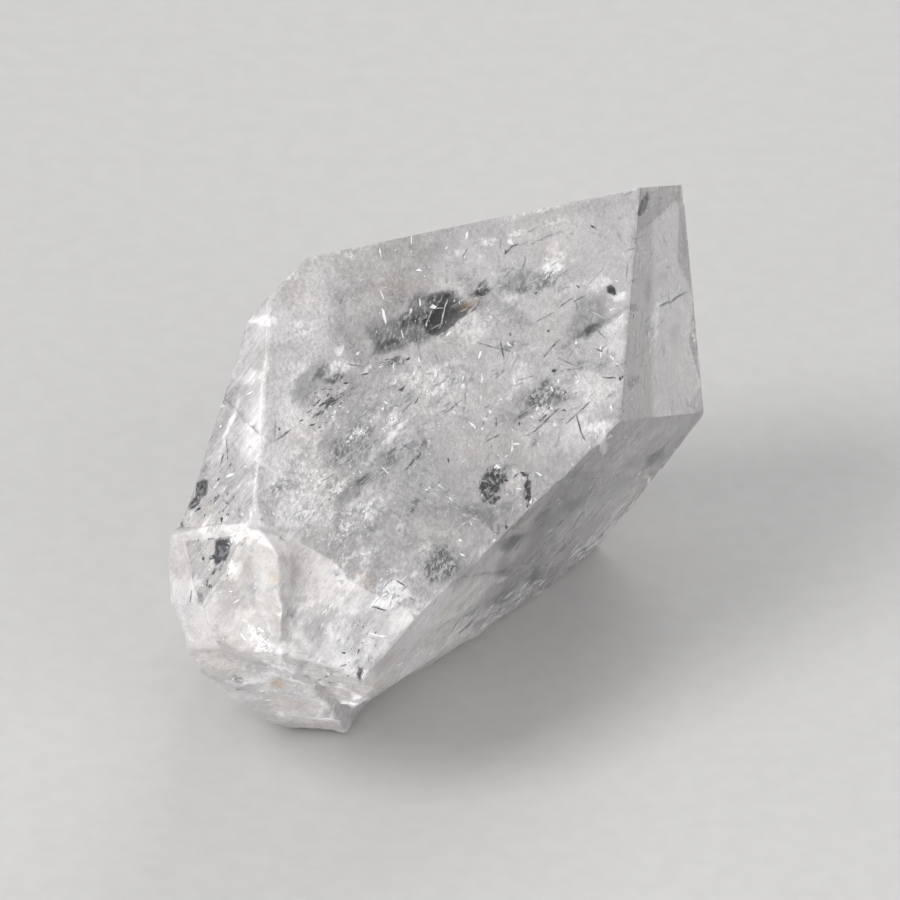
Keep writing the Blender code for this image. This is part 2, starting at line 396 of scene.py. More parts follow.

# Across and up in the front view, half length, half width (mm), turn (degrees), then in percent
# the strength, how rough it is and how soft its edge is. The first six are the large window, painted
# shade where the glass shows the dark.
DARK_MARKS_AND_SHADE = hundredths(5, (
    (-0.3, 16.5, 3.2, 2.2, 42, 72, 12, 30), (-3.2, 17.5, 3, 1.9, 28, 66, 50, 35),
    (-4.8, 14.6, 5, 2, 18, 58, 40, 40), (-9.6, 14.3, 2.1, 1, -48, 48, 30),
    (-7.8, 12.8, 2.3, 1, 12, 50, 20, 45), (-1, 19.3, 1.9, 0.6, 12, 55, 40, 35),
    (4, 19.9, 1.1, 0.8, 35, 80, 40, 40), (2.9, 19.3, 0.6, 0.4, 20, 55, 40),
    (9.6, 20.8, 4.2, 1.6, 8, 40, 50), (11.9, 20.9, 1.4, 0.9, 20, 35, 60),
    (18.5, 30.6, 2.8, 0.9, 8, 25, 40), (24.3, 30.8, 1.5, 0.42, 68, 92, 20, 30),
    (20.3, 20, 0.85, 0.5, -45, 88, 20, 30), (22.6, 17.8, 1, 0.45, -8, 30, 20, 50),
    (7.4, 13, 1.4, 0.4, 30, 50, 80), (1.5, 10.2, 2.6, 0.5, -8, 32, 90),
    (2.4, 8.8, 1.2, 0.8, 10, 35, 90), (17.2, 16.6, 4, 2, 47, 40, 30, 30),
    (17.5, 14.9, 5, 0.55, 31, 40, 20, 50), (12.3, 6.8, 2.3, 1.9, 10, 50, 70, 30),
    (8.3, 4.8, 3.2, 1.9, 42, 36, 40, 45), (10.6, 0.9, 0.8, 0.4, 60, 45, 60),
    (12, -3.1, 2.3, 1.6, 25, 28, 30), (8.9, 8.9, 0.12, 0.9, 0, 25, 30),
    (-17.4, 8.6, 3.4, 1.3, 52, 40, 15, 22), (-15.8, 9.7, 1.3, 0.6, 48, 42, 20, 30),
    (-14.6, 8.8, 1.3, 0.5, 15, 60, 95, 50), (-14.3, 6.3, 1.4, 0.45, 35, 70, 90, 50),
    (-15.6, 5.2, 0.9, 0.4, 50, 68, 90, 50), (-17.4, 6, 1.5, 0.6, 40, 35, 90),
    (-7, 11, 2.2, 0.5, 8, 42, 90), (-9, 5, 3.5, 1.2, 42, 20, 90, 70),
    (-12.4, 0.3, 3.2, 2.2, 20, 42, 90), (-3.7, 0.1, 1.7, 1.1, 30, 34, 90),
    (-12.2, -5.1, 3, 1.05, 46, 44, 10, 30), (-10.4, -3.7, 0.9, 0.6, 30, 32, 10, 50),
    (-4.6, -7.2, 1.4, 0.45, 58, 50, 60, 50), (-3.8, -4, 6.2, 4.4, -34, 22, 10, 25),
    (-1.8, 6.2, 2.5, 0.5, 40, 18, 90, 70), (1.8, 3.7, 1.2, 0.7, 20, 30, 90),
    (5.2, -4.2, 2.6, 1.6, 58, 84, 70, 30), (5.6, -6.3, 0.9, 0.4, 20, 80, 50, 40),
    (7.2, -2.1, 1, 0.5, 20, 40, 60), (9.7, -4.7, 2.35, 0.52, 93, 84, 70, 30),
    (7.5, -11.6, 1.9, 0.9, 36, 62, 50, 50), (-1.6, -14.2, 2.8, 1.8, 62, 60, 80, 35),
    (1.4, -14.8, 3.6, 1.6, 58, 34, 10, 25), (-8.8, -11.2, 3.2, 1.6, -20, 20, 50),
    (-13.9, -12.9, 0.9, 0.5, 70, 35, 80), (-10.2, -10.2, 1, 0.8, 40, 38, 95),
    (-10.9, -22.4, 2.8, 1.6, 60, 34, 95), (-9, -26.2, 2.8, 1.5, 20, 28, 90),
    (-11.2, -27.6, 0.75, 0.4, 65, 76, 40, 40), (-15.6, -32.8, 1.3, 0.4, 10, 40, 90),
    (-16.5, -11.4, 3, 1, -60, 12, 90, 80), (-30.9, -4.9, 1.4, 0.6, 62, 86, 20, 30),
    (-31.6, -6.7, 1.2, 0.75, 35, 76, 95, 40), (-29.1, -2.3, 0.9, 0.5, 60, 40, 95),
    (-28.1, -12.5, 1.7, 1.05, 62, 84, 25, 25), (-29.4, -13.2, 0.75, 0.5, 30, 74, 50, 40),
    (-30.9, -18.3, 1, 0.6, 80, 55, 90, 50), (-33.6, -9.4, 0.7, 0.45, 30, 70, 40, 40),
    (-30, -9.9, 1.2, 0.4, 20, 40, 95), (-26.4, -28.6, 1.1, 0.5, -20, 60, 80, 50),
    (-22, -4.9, 1.7, 0.4, 8, 40, 95), (-24.6, -26, 2.6, 0.5, -12, 22, 60),
    (-20.3, -26.5, 0.18, 2.6, 0, 22, 30, 70), (11.3, -8.4, 1.2, 0.6, 40, 34, 80),
    (10.6, -16, 1.5, 0.8, 40, 45, 60, 50), (25.9, -1, 1.4, 0.75, 35, 45, 50, 50),
    (6.6, -15, 1.6, 0.6, 50, 35, 80), (7, -17.8, 2.2, 0.8, 40, 30, 80),
    (14.8, -5.6, 9.5, 1.7, 50, 26, 20), (22.9, 8.5, 1, 0.6, 50, 36, 60),
))
print("dark markings:", len(DARK_MARKS_AND_SHADE))

# %% Light markings, painted glints and stains
# Most are white veils; the strongest small ones are painted highlights, glints where a chip mirrors a
# lamp.
LIGHT_MARKS_AND_GLINTS = hundredths(5, (
    (12.9, 22.8, 1.1, 0.8, 35, 90, 60, 50), (13.9, 24.3, 0.8, 0.6, 60, 45, 60),
    (4.8, 25.9, 1, 0.5, 15, 70, 90), (8.2, 27.1, 1.1, 0.35, 15, 60, 90),
    (1, 24.6, 1.6, 0.5, 15, 45, 90), (13, 28.4, 1.4, 0.6, 15, 40, 90),
    (11.5, 30.3, 4, 0.5, 14, 45, 60), (-19.5, 21.8, 0.9, 0.6, 20, 40, 90),
    (-22.9, 16, 1.4, 0.7, -5, 60, 60, 50), (-12.5, 24.3, 0.5, 0.5, 0, 40, 80),
    (-18.5, 15, 1.2, 1, 20, 35, 80), (-14.2, 10.4, 2.4, 0.75, 8, 45, 60),
    (-19.5, 5, 12, 3.4, 82, 30, 40, 80), (-13.7, 12.4, 0.7, 0.5, 60, 50, 40),
    (-11.5, 2.2, 1.3, 0.5, 32, 95, 80, 50), (-7.2, 3.5, 1.3, 0.5, 40, 75, 95),
    (-14.5, 4.6, 0.7, 0.4, 30, 60, 90), (-1.2, 8.1, 1.1, 0.6, 30, 60, 95),
    (-2, 8, 7, 3.2, 20, 22, 80, 80), (2.5, 15.5, 3.8, 1.6, 20, 30, 60, 70),
    (8.8, 8.9, 1.6, 1.3, 20, 30, 30, 45), (18.7, 20.8, 1.8, 0.9, 10, 42, 40),
    (21.2, 19.2, 0.8, 0.5, 20, 65, 40, 50), (20.6, 15.6, 1.9, 0.8, 40, 35, 40),
    (20.8, 12.8, 2.2, 1.4, 70, 30, 20), (18.6, 7.2, 3.4, 2.6, 60, 34, 30, 70),
    (11.8, 4.9, 1.8, 0.5, 25, 50, 80), (18.6, 3, 2, 0.7, 8, 70, 60),
    (19.2, 0.8, 1.2, 0.65, 92, 95, 20, 35), (15.6, 1.5, 3, 1.5, 30, 25, 30, 70),
    (-8.2, 0.8, 5.4, 0.45, 46, 32, 20), (8.3, -3.6, 1.6, 1.2, 60, 30, 40),
    (3.3, -13.2, 1.6, 0.7, 40, 50, 70), (6.3, -16.2, 0.9, 0.35, 15, 60, 40, 50),
    (-18, -3.5, 5, 3.6, 40, 26, 60, 80), (-14, -5, 1.8, 0.5, 40, 60, 90),
    (-18, -8.2, 3.5, 1.6, 10, 36, 50, 70), (-12, -8.6, 3.2, 1.2, 40, 34, 90),
    (-13.8, -18, 4, 3.6, 60, 30, 60, 80), (-4, -20, 4.6, 1.8, 30, 30, 60, 70),
    (-7.4, -17.8, 2.6, 1.7, 22, 62, 30, 40), (-2.1, -21, 1.1, 0.8, 50, 75, 95),
    (-16, -21.6, 0.4, 0.4, 0, 70, 30), (-10.8, -24.2, 2, 0.4, 55, 45, 90),
    (-26.8, -15, 1.3, 0.9, 60, 80, 80), (-26.2, -10.8, 1, 0.5, 20, 70, 80),
    (-29.9, -9.6, 1.6, 0.5, 10, 55, 90), (-22.4, -11.3, 2.9, 0.75, -26, 52, 20, 40),
    (-23.4, -24, 2.4, 0.8, -42, 98, 90, 50), (-22.2, -26.2, 2.4, 0.7, -22, 90, 70, 50),
    (-21.2, -25.8, 1.4, 0.35, 88, 95, 30, 40), (-24.3, -28.5, 3, 0.7, 8, 92, 60, 50),
    (-16.2, -32.8, 0.35, 0.5, 0, 95, 20, 40), (-18, -31.8, 7, 1.4, -8, 40, 80),
    (-24, -27, 5, 2, -10, 35, 80), (-14, -29.5, 5, 2.2, 10, 30, 80),
    (-24.4, 8.9, 1.5, 0.9, 20, 45, 60), (-27.4, 3, 0.3, 3.5, -20, 35, 30),
    (-24.2, 3, 1.4, 4, -12, 20, 10, 70), (25.6, 15.4, 2.4, 0.62, 82, 98, 80, 35),
    (26.5, 18.3, 0.5, 0.35, 20, 80, 30, 50), (18.6, -11.2, 6.8, 0.95, 47, 80, 95),
    (21.5, -7.4, 3, 0.6, 50, 70, 95), (9, -18.6, 4.6, 0.8, 36, 50, 90),
    (2, -22.6, 5, 0.9, 30, 45, 90), (-4, -26.4, 4.6, 0.7, 34, 50, 90),
    (24.5, 2, 2, 4, -40, 18, 40, 80),
))
STAIN_MARKS = hundredths(5, (
    (-21.9, -15.4, 0.5, 1, 0, 55, 20, 80), (-21.5, -20.5, 0.2, 3, 8, 40, 40, 80),
    (-10.2, -16.2, 0.8, 0.6, 0, 50, 20, 80), (-21.5, -29.2, 0.9, 0.5, -20, 90, 30),
    (-9.5, -29.3, 2.6, 0.7, 15, 25, 60, 80), (-6.8, -25.8, 0.8, 0.4, 40, 35, 60, 80),
    (-23.5, -11.5, 2.2, 0.5, -26, 22, 40, 80), (-19, -31.6, 3.5, 0.5, -12, 28, 60, 80),
    (-6, 20.6, 3, 0.8, 12, 20, 40, 80), (2.6, 18, 1.2, 0.8, 20, 25, 40, 80),
))

# Straight rims where the large window's painted shade stops: across and up of a point on each, and its
# turn.
WINDOW_RIMS = ((-5.0, 12.55, 12.5), (0.2, 15.2, 43.0))
RIM_EDGE = 0.3  # how soft the rims are, in mm
WINDOW_MARKS = 6  # how many of the first dark markings these rims cut
print("light markings:", len(LIGHT_MARKS_AND_GLINTS), "and stains:", len(STAIN_MARKS))

# %% Strew small soft ones between them
# Middle (across, up), reach, width and turn of a part of the view; how many dark and light ones;
# their turn and how far it strays.
STREWN = (
    (-9, 2, 12, 7, 45, 60, 50, 42, 14), (-9, -12, 9, 5.5, -30, 40, 40, 48, 20),
    (-18, -23, 10, 7.5, 0, 50, 60, 50, 50), (-28, -9, 4.5, 11, -15, 28, 28, 65, 25),
    (8, 20, 14, 5, 18, 26, 22, 28, 14), (14, -9, 13, 3.2, 50, 10, 18, 51, 5),
    (13, 8, 8, 6, 30, 22, 20, 30, 20), (26.5, 15, 14, 3, 95, 8, 10, 80, 30),
    (3, -21, 9, 2.2, 36, 16, 28, 42, 12),
)
CROWDING = 0.5  # spread of random places, as a share of their part's half length
SHORTEST_MARK, LONGER_BY = 0.5, 4.0  # half length in mm, and how many times as long others get
THINNEST_MARK = 0.32
MARK_SLIMNESS = (0.25, 0.5)
MARK_STRENGTHS = (0.10, 0.34)
MARK_ROUGHNESS, MARK_EDGE = 0.6, 0.5


def off_middle(chances, reach, width):
    """Random place in an oval part of a view, denser at its middle."""
    return chances.gauss(0.0, CROWDING) * reach, chances.gauss(0.0, CROWDING) * width


def moved(across, up, x, y, turn):
    """A place, moved by x along a direction that is turned from across, and by y beside it."""
    cosine, sine = cos(radians(turn)), sin(radians(turn))
    return across + x * cosine - y * sine, up + x * sine + y * cosine


def strewn_marks(seed, count_column):
    """Small random markings of one kind, denser at the middle of each part."""
    chances = random.Random(seed)
    marks = []
    for row in STREWN:
        across, up, reach, width, turn, *_, way, stray = row
        for _ in range(row[count_column]):
            x, y = off_middle(chances, reach, width)
            length = SHORTEST_MARK * LONGER_BY ** chances.random()
            marks.append((*moved(across, up, x, y, turn), length,
                          max(THINNEST_MARK, length * chances.uniform(*MARK_SLIMNESS)),
                          chances.gauss(way, stray), chances.uniform(*MARK_STRENGTHS),
                          MARK_ROUGHNESS, MARK_EDGE))
    return tuple(marks)


DARK_MARKS_AND_SHADE += strewn_marks(seed=3, count_column=5)
LIGHT_MARKS_AND_GLINTS += strewn_marks(seed=4, count_column=6)
print("with the strewn ones:", len(DARK_MARKS_AND_SHADE), "dark and", len(LIGHT_MARKS_AND_GLINTS), "light")

# %% [markdown]
# ## How strong they are
# Ovals would all look alike. So each shard has four to six random straight sides, softened by a
# smooth step, and a little noise on the places makes them wavy. Markings are laid over each other
# as films are: each works on what the one before lets through.

# %% Work out the markings' strength
def smooth_step(values):
    values = np.clip(values, 0.0, 1.0)
    return values * values * (3.0 - 2.0 * values)


def shard_distance(x, y, sides):
    """How far places are from a shard's middle: 1.0 on its rim. Each shard has its own corners."""
    start = sides.uniform(0.0, 2.0 * pi)
    count = sides.choice((4, 5, 6))
    far = np.zeros(len(x))
    for number in range(count):
        turn = start + 2.0 * pi * (number + sides.uniform(-0.25, 0.25)) / count
        far = np.maximum(far, (x * cos(turn) + y * sin(turn)) / sides.uniform(0.75, 1.0))
    return far


def mark_strengths(marks, places, rims=(), rimmed=0):
    """Strength and roughness at each place (rows of across and up, in mm), laid over each other."""
    left = np.ones(len(places))
    rough = np.zeros(len(places))
    inside = np.ones(len(places))
    for across, up, turn in rims:
        angle = radians(turn)
        above = (places[:, 1] - up) * cos(angle) - (places[:, 0] - across) * sin(angle)
        inside *= smooth_step(above / RIM_EDGE + 0.5)
    for number, (across, up, reach, width, turn, strength, roughness, *given) in enumerate(marks):
        (edge,) = given or (SOFT_EDGE,)
        x, y = places[:, 0] - across, places[:, 1] - up
        near = np.hypot(x, y) < reach * 2.0 + width
        x, y = x[near], y[near]
        cosine, sine = cos(radians(turn)), sin(radians(turn))
        far = shard_distance((x * cosine + y * sine) / reach, (y * cosine - x * sine) / width,
                             random.Random(number))
        share = strength * smooth_step((1.0 + edge - far) / (2.0 * edge))
        if number < rimmed:
            share *= inside[near]
        rough[near] = np.where(share > 1.0 - left[near], roughness, rough[near])
        left[near] *= 1.0 - share
    return 1.0 - left, rough


WAVES = ((1.1, 0.22), (0.4, 0.10))  # size and height of the waviness of rims, in mm


def view_places(corners):
    """Across and up of corners in the front view, in mm, with a little waviness."""
    places = np.empty((len(corners), 2))
    for row, corner in enumerate(corners):
        wave = layered_noise(corner, WAVES)
        offset = corner - HEART
        places[row] = offset.dot(ACROSS) / MM + wave.x, offset.dot(UP) / MM + wave.y
    return places


# %% [markdown]
# ## A mesh fine enough
# A flat face of a few polygons has no corners to write on, and an even grid that is fine enough
# would take some half a million triangles. So the faces are diced into coarse squares, and an edge
# is halved only where a marking changes along it.

# %% Dice the flat faces
DICE = 1.0 * MM
FRONT_FACES = ("broad", "bevel", "narrow", "right", "left")


def dice_face(bm, layer, name):
    """Cut one flat face into small squares along two directions that lie in it."""
    direction = DIRECTIONS[name]
    first = (ACROSS - direction * ACROSS.dot(direction)).normalized()
    number = KIND_NAMES.index(name)
    for way in (first, direction.cross(first)):
        reaches = [corner.co.dot(way) for face in bm.faces if face[layer] == number
                   for corner in face.verts]
        level = min(reaches) + DICE / 2
        while level < max(reaches):
            faces = [face for face in bm.faces if face[layer] == number]
            edges = dict.fromkeys(edge for face in faces for edge in face.edges)
            corners = dict.fromkeys(corner for face in faces for corner in face.verts)
            bmesh.ops.bisect_plane(bm, geom=[*faces, *edges, *corners], plane_co=way * level,
                                   plane_no=way, dist=TOUCH)
            level += DICE


for name in FRONT_FACES:
    dice_face(shell, kind_layer, name)
bmesh.ops.dissolve_degenerate(shell, edges=shell.edges[:], dist=2 * TOUCH)
bmesh.ops.triangulate(shell, faces=shell.faces[:])
shell.normal_update()
print("diced:", len(shell.faces), "faces")

# %% Halve edges where a marking changes
CHANGE = 0.12
SHORTEST = 0.28 * MM
ROUNDS = 3
BEND_WEIGHT = 3.0  # how much a middle that departs from its ends' mean counts
EDGE_ON = 0.02  # faces that lean less than this towards the front view are left out


def in_view(face):
    return face.normal.dot(DEEP) < -EDGE_ON


def strengths_at(corners):
    places = view_places(corners)
    dark, _ = mark_strengths(DARK_MARKS_AND_SHADE, places, WINDOW_RIMS, WINDOW_MARKS)
    light, _ = mark_strengths(LIGHT_MARKS_AND_GLINTS, places)
    return dark, light


for _ in range(ROUNDS):
    shell.normal_update()
    shell.verts.index_update()
    edges = [edge for edge in shell.edges if edge.calc_length() > SHORTEST
             and any(in_view(face) for face in edge.link_faces)]
    at_corners = strengths_at([corner.co for corner in shell.verts])
    firsts = [edge.verts[0].index for edge in edges]
    seconds = [edge.verts[1].index for edge in edges]
    at_middles = strengths_at([(edge.verts[0].co + edge.verts[1].co) / 2 for edge in edges])
    change = np.zeros(len(edges))
    for values, middles in zip(at_corners, at_middles):
        change = np.maximum(change, np.abs(values[firsts] - values[seconds]))
        bend = np.abs(middles - (values[firsts] + values[seconds]) / 2)
        change = np.maximum(change, BEND_WEIGHT * bend)
    halved = [edge for edge, amount in zip(edges, change) if amount > CHANGE]
    bmesh.ops.subdivide_edges(shell, edges=halved, cuts=1)
    bmesh.ops.triangulate(shell, faces=[face for face in shell.faces if len(face.verts) > 3])
    print("halved", len(halved), "edges:", len(shell.faces), "faces")

# %% [markdown]
# ## The piece
# The numbers go on the mesh as attributes: per corner for the markings, which fade, and per
# polygon for what stops at a face's edge. One shell serves the clear and the milky part alike,
# because a second shell inside would show its own edges.

# %% Say how milky each face is
SHARP_EDGE = radians(32.0)
ZONES = {"broken": {None, "rest"}, "frosted": {"bevel", "shoulder"}, "narrow": {"narrow"},
         "prism": {"right", "left", "far_left", "back", "far_right"}}
# How milky each face is, and how white that milk is. The whiteness is also painted light and
# shade: the right face is greyed for the dark it mirrors, and the breaks, white as broken quartz
# is, are made near white also so that those facing down look lit.
MILK_AND_SHADING = {"broad": (0.44, 0.74), "narrow": (0.32, 0.55), "right": (0.30, 0.40), "left": (0.42, 0.78),
        "bevel": (0.50, 0.68), "shoulder": (0.50, 0.85), "top": (0.46, 0.88), None: (0.50, 0.97)}
OTHER_MILK = (0.42, 0.86)
# Faces that change towards one side: where (across, in mm) it starts and ends, and their end values.
MILKIER = {"right": (9.0, 2.0, 0.62, 1.0), "broad": (-13.0, -20.0, 0.62, 0.66),
           "bevel": (-12.0, -19.0, 0.62, 0.78)}
# Beside the edge between these faces: across, half width, milkiness and whiteness. Its greyer
# milk is painted shade that tones down the light falling on this edge.
EDGE_FACES = ("broad", "left")
EDGE_MILK_AND_SHADE = (-23.7, 1.2, 0.58, 0.66)


def mixed(first, second, share):
    return [start + share * (end - start) for start, end in zip(first, second)]


def milk_of(face, kind):
    """Milkiness and whiteness of one polygon."""
    values = MILK_AND_SHADING.get(kind, OTHER_MILK)
    across = (face.calc_center_median() - HEART).x / MM
    if kind in EDGE_FACES:
        middle, width, *at_edge = EDGE_MILK_AND_SHADE
        values = mixed(values, at_edge, exp(-((across - middle) / width) ** 2))
    if kind in MILKIER:
        start, end, *at_end = MILKIER[kind]
        values = mixed(values, at_end, min(max((start - across) / (start - end), 0.0), 1.0))
    return values


print("milk:", MILK_AND_SHADING["broad"], "on the front,", MILK_AND_SHADING[None], "on the breaks")

# %% Make the piece
shell.normal_update()
shell_mesh = bpy.data.meshes.new("crystal")
kinds = [KIND_NAMES[face[kind_layer]] for face in shell.faces]
face_values = {zone: [float(kind in names) for kind in kinds] for zone, names in ZONES.items()}
milks = [milk_of(face, kind) for face, kind in zip(shell.faces, kinds)]
face_values["milk"], face_values["whiteness"] = zip(*milks)
face_values["in_view"] = [float(in_view(face)) for face in shell.faces]
places = view_places([corner.co for corner in shell.verts])
point_values = {}
point_values["dark"], point_values["dark_rough"] = mark_strengths(
    DARK_MARKS_AND_SHADE, places, WINDOW_RIMS, WINDOW_MARKS)
point_values["light"], point_values["light_rough"] = mark_strengths(LIGHT_MARKS_AND_GLINTS, places)
point_values["stain"], _ = mark_strengths(STAIN_MARKS, places)
for face, kind in zip(shell.faces, kinds):
    face.smooth = kind is None
shell.to_mesh(shell_mesh)
shell_tree = BVHTree.FromBMesh(shell)
shell.free()
for domain, table in (("FACE", face_values), ("POINT", point_values)):
    for name, values in table.items():
        shell_mesh.attributes.new(name, "FLOAT", domain).data.foreach_set("value", values)
shell_mesh.set_sharp_from_angle(angle=SHARP_EDGE)
crystal = add_object("crystal", shell_mesh)
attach(crystal, "root")
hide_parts("quartz_crystal")
print("crystal:", len(shell_mesh.polygons), "triangles")

# %% [markdown]
# ## Quartz
# Quartz is glassy and clear, with an index of 1.544: its white comes from flaws. Real scattering in
# the volume would need many more samples. So a see-through material, which swallows a little light
# with depth, is mixed with a milky one, and a mask says how much of each.

# %% Read the mesh's numbers
QUARTZ_IOR = 1.544
quartz, place = new_material("flawed_quartz")


def painted(name):
    """A number that was written on the mesh."""
    return place.node("ShaderNodeAttribute", {"attribute_name": name}, {}, "Fac")


broken, frosted, prism, narrow = (painted(name) for name in ("broken", "frosted", "prism", "narrow"))
base_milk, whiteness, seen = painted("milk"), painted("whiteness"), painted("in_view")
along = place.dot(LONG_AXIS)
across = place.dot(ACROSS)

# %% Shape the surface's fine relief
FINE_GRAIN = 0.12  # relief of the grain where a face isn't frosted
steps = place.node("ShaderNodeTexNoise", {"noise_dimensions": "1D"}, {
    "W": along * 1.4 + place.noise(9.0) * 1.2, "Detail": 3.0, "Roughness": 0.6, "Scale": 1.0}, "Fac")
crumb = place.noise(0.8, 3.0, 0.65)
grain = place.noise(0.3, 2.0, 0.6)
relief = steps * prism * 0.5 + crumb * broken + grain * (frosted * 0.5 + FINE_GRAIN)
bump = place.node("ShaderNodeBump", {}, {
    "Strength": 0.35, "Distance": 0.1 * MM, "Height": relief})
print("relief: growth steps, crumb and grain")

# %% Mix milk into it
CLOUDINESS, LACINESS, GRAININESS = 0.26, 0.10, 0.12
THREADINESS, LESS_ON_BREAKS = 0.24, 0.14
THREAD_STRETCH, THREAD_FINENESS = 0.35, 2.2

clouds = place.noise(4.5, 3.0, 0.6, 0.5)
lace = place.noise(0.9, 4.0, 0.75)
axes = [LONG_AXIS.orthogonal().normalized()]
axes.append(LONG_AXIS.cross(axes[0]))
drawn = place.node("ShaderNodeCombineXYZ", {}, {
    0: along * THREAD_STRETCH, 1: place.dot(axes[0]) * THREAD_FINENESS,
    2: place.dot(axes[1]) * THREAD_FINENESS})
threads = drawn.noise(1.0, 4.0, 0.7, 0.3)
haze = clouds.swing() * CLOUDINESS + lace.swing() * LACINESS + grain.swing() * GRAININESS
haze = haze + threads.swing(0.34, 0.66) * (THREADINESS - broken * LESS_ON_BREAKS)
print("haze of clouds, lace, grain and threads")

# %% Lay the markings over it
HAZE = 0.45
BLACKEST = 0.025
DARKENING, WHITENING = 1.6, 0.6
COVER_DARK, COVER_LIGHT = 2.2, 1.5  # how fast a marking hides what is behind it
FULLEST = 0.96  # milkiness of a full marking
NARROW_SPLIT = (25.0, 25.9)  # where the narrow face goes from dark to light, in mm across

# The dark markings carry the windows' painted shade, and the light ones the painted glints.
dark = painted("dark") * seen * (1.0 - painted("dark_rough") * threads.ramp(0.44, 0.64))
wisps = (threads * 0.75 + lace * 0.25).ramp(0.66, 0.38)
light = painted("light") * seen * (1.0 - painted("light_rough") * wisps)
light = light * (1.0 - dark)
split = narrow * (across - HEART.x / MM).ramp(*NARROW_SPLIT, -0.25, 0.25)
white = (whiteness + haze * HAZE + split) * (1.0 - dark) ** DARKENING + light * WHITENING
white = white.maths("MAXIMUM", BLACKEST)
change = (dark * COVER_DARK).maths("MAXIMUM", light * COVER_LIGHT).maths("MINIMUM", 1.0)
milk = base_milk + haze * HAZE
milk = milk + (FULLEST - milk) * change
print("markings laid over the milk")

# %% Colour it and finish the quartz
COOL, WARM = (0.985, 0.965, 0.978, 1.0), (1.0, 0.966, 0.94, 1.0)
RUST = (0.80, 0.52, 0.25, 1.0)

warmth = place.noise(11.0, 1.0).ramp(0.40, 0.60) * (1.0 - (dark * 3.0).maths("MINIMUM", 1.0))
tint = warmth.blend(COOL, WARM)
milk_colour = white.blend((0.0, 0.0, 0.0, 1.0), tint)
stained = painted("stain") * seen * lace.ramp(0.3, 0.6)
milk_colour = stained.blend(milk_colour, RUST)
inner_relief = place.node("ShaderNodeBump", {}, {
    "Strength": 0.7, "Distance": 0.35 * MM, "Height": lace * (broken * 0.4 + 0.6)})
roughness = frosted * 0.2 + broken * 0.1 + lace.ramp(0.45, 0.8, 0.015, 0.12)
clear = place.node("ShaderNodeBsdfPrincipled", {}, {
    "Base Color": (0.97, 0.97, 0.97, 1.0), "Roughness": roughness, "IOR": QUARTZ_IOR,
    "Transmission Weight": 1.0, "Normal": bump})
milky = place.node("ShaderNodeBsdfPrincipled", {}, {
    "Base Color": milk_colour, "Roughness": 0.3, "IOR": QUARTZ_IOR, "Normal": inner_relief})
surface = place.node("ShaderNodeMixShader", {}, {0: milk, 1: clear, 2: milky})
absorbed = place.node("ShaderNodeVolumeAbsorption", {}, {
    "Color": (0.915, 0.90, 0.905, 1.0), "Density": 40.0})
finish_material(quartz, surface, absorbed)
shell_mesh.materials.append(quartz)

# %% [markdown]
# ## Looking into the crystal
# A flaw seen through a face isn't where it seems to be, because light bends there. So each flaw is
# placed the way the eye finds it: a line of sight goes to the face, is bent by the law of
# refraction, and goes on to the flaw's depth.

# %% Bend the line of sight
def bent_sight(direction):
    """The way the line of sight goes on inside the crystal, past a face with this direction."""
    ratio = 1.0 / QUARTZ_IOR
    straight = -DEEP.dot(direction)
    inner = sqrt(1.0 - ratio ** 2 * (1.0 - straight ** 2))
    return ratio * DEEP + (ratio * straight - inner) * direction


def inside_at(face, across, up, depth):
    """Place that is seen through a face at across and up in the front view, at a depth, all in mm."""
    direction = DIRECTIONS[face]
    start = HEART + (ACROSS * across + UP * up) * MM
    start += DEEP * (FACES[face][2] * MM - (start - HEART).dot(direction)) / DEEP.dot(direction)
    return start + bent_sight(direction) * depth * MM


def well_inside(point, margin):
    """True if a point is in the crystal and more than this many metres from its surface."""
    nearest, direction, _, distance = shell_tree.find_nearest(point)
    return distance > margin and (point - nearest).dot(direction) < 0.0


print("sight bends by", round(degrees(DEEP.angle(bent_sight(DIRECTIONS["broad"])))), "degrees")

# %% [markdown]
# ## Flaws inside
# A crack that has healed leaves thousands of tiny flat pockets on one sheet, which mirror light or
# block it, so some look white and some dark. A volume texture would blur them. They are modelled
# as flat shards that lie in thin groups, densest at each group's middle: white shards painted as
# glints, and dark ones painted as shade.

# %% Make shards
SHARD_CORNERS = (4, 7)  # fewest and most
INSIDE_MARGIN = 0.25 * MM
TILT, LEAN = 0.35, 0.25  # how far shards stray from their sheet, in radians
dice = random.Random(7)


def add_shard(bm, middle, first, second, size, slimness):
    """One irregular flat polygon, with its longer way along first."""
    count = dice.randint(*SHARD_CORNERS)
    corners = []
    for number in range(count):
        turn = 2.0 * pi * (number + dice.uniform(-0.3, 0.3)) / count
        far = size * MM * dice.uniform(0.6, 1.0)
        corners.append(middle + first * far * cos(turn) + second * far * slimness * sin(turn))
    bm.faces.new([bm.verts.new(corner) for corner in corners])


